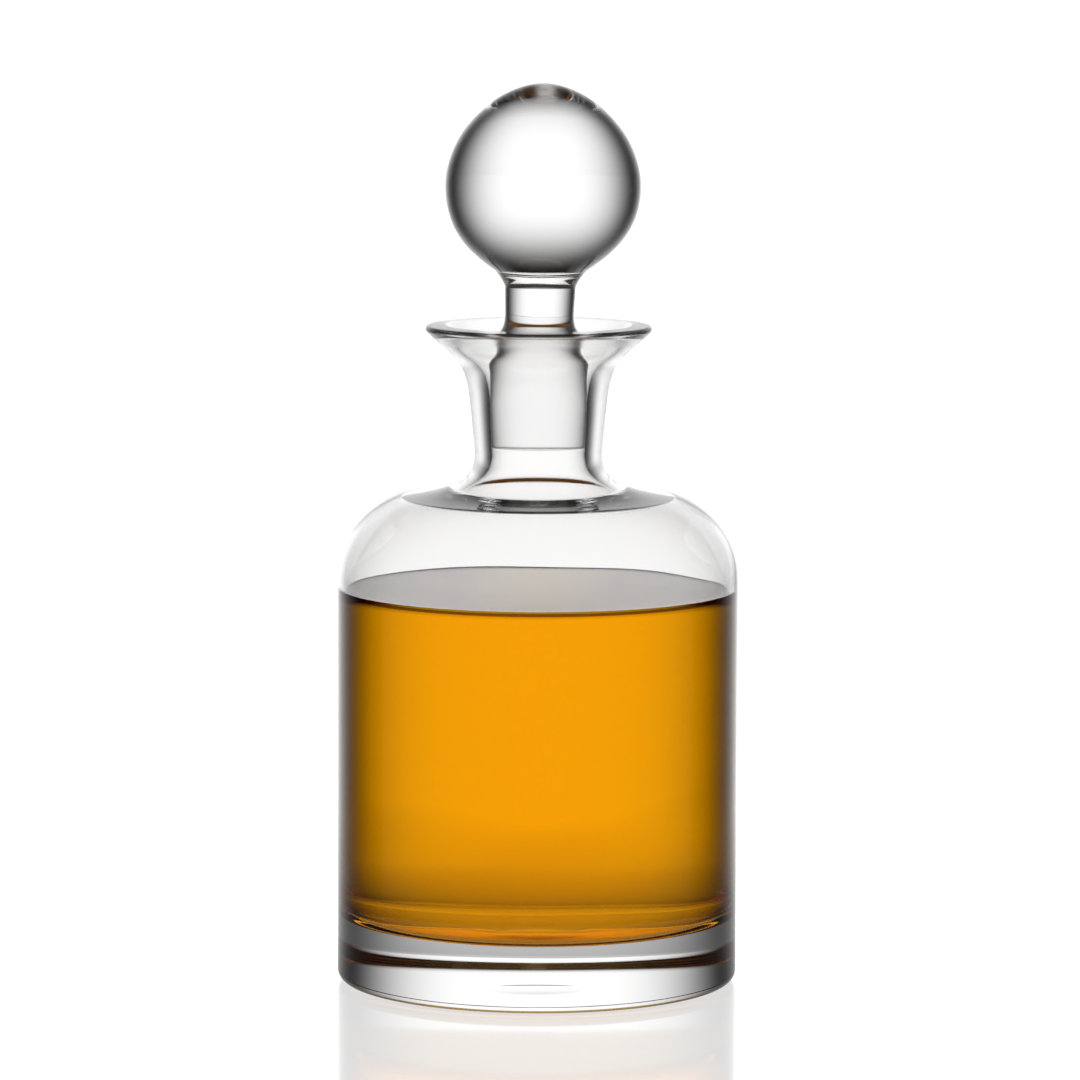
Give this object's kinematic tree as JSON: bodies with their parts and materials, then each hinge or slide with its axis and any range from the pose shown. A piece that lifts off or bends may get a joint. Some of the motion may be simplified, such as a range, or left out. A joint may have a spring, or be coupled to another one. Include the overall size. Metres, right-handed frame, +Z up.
{
  "type": "decanter",
  "caption": "Round clear glass decanter with a heavy base, flared neck and ball stopper with a ground plug, part filled with amber spirit.",
  "frame": {"origin": "middle of the base, on the surface that the decanter stands on", "axes": "+Z up along the axis of the bottle and the stopper; the decanter is round, and its front faces -Y"},
  "size_m": [0.105, 0.105, 0.2365],
  "materials": {
    "clear_glass": "gloss",
    "stopper_glass": "gloss",
    "amber_spirit": "gloss"
  },
  "bodies": {
    "bottle": {"bottle": "clear_glass", "whisky": "amber_spirit"},
    "stopper": {"stopper": "stopper_glass"}
  },
  "joints": [
    {"name": "stopper_lift", "type": "slide", "parent": "bottle", "child": "stopper", "axis": [0, 0, 1], "range_m": [0, 0.036]}
  ]
}
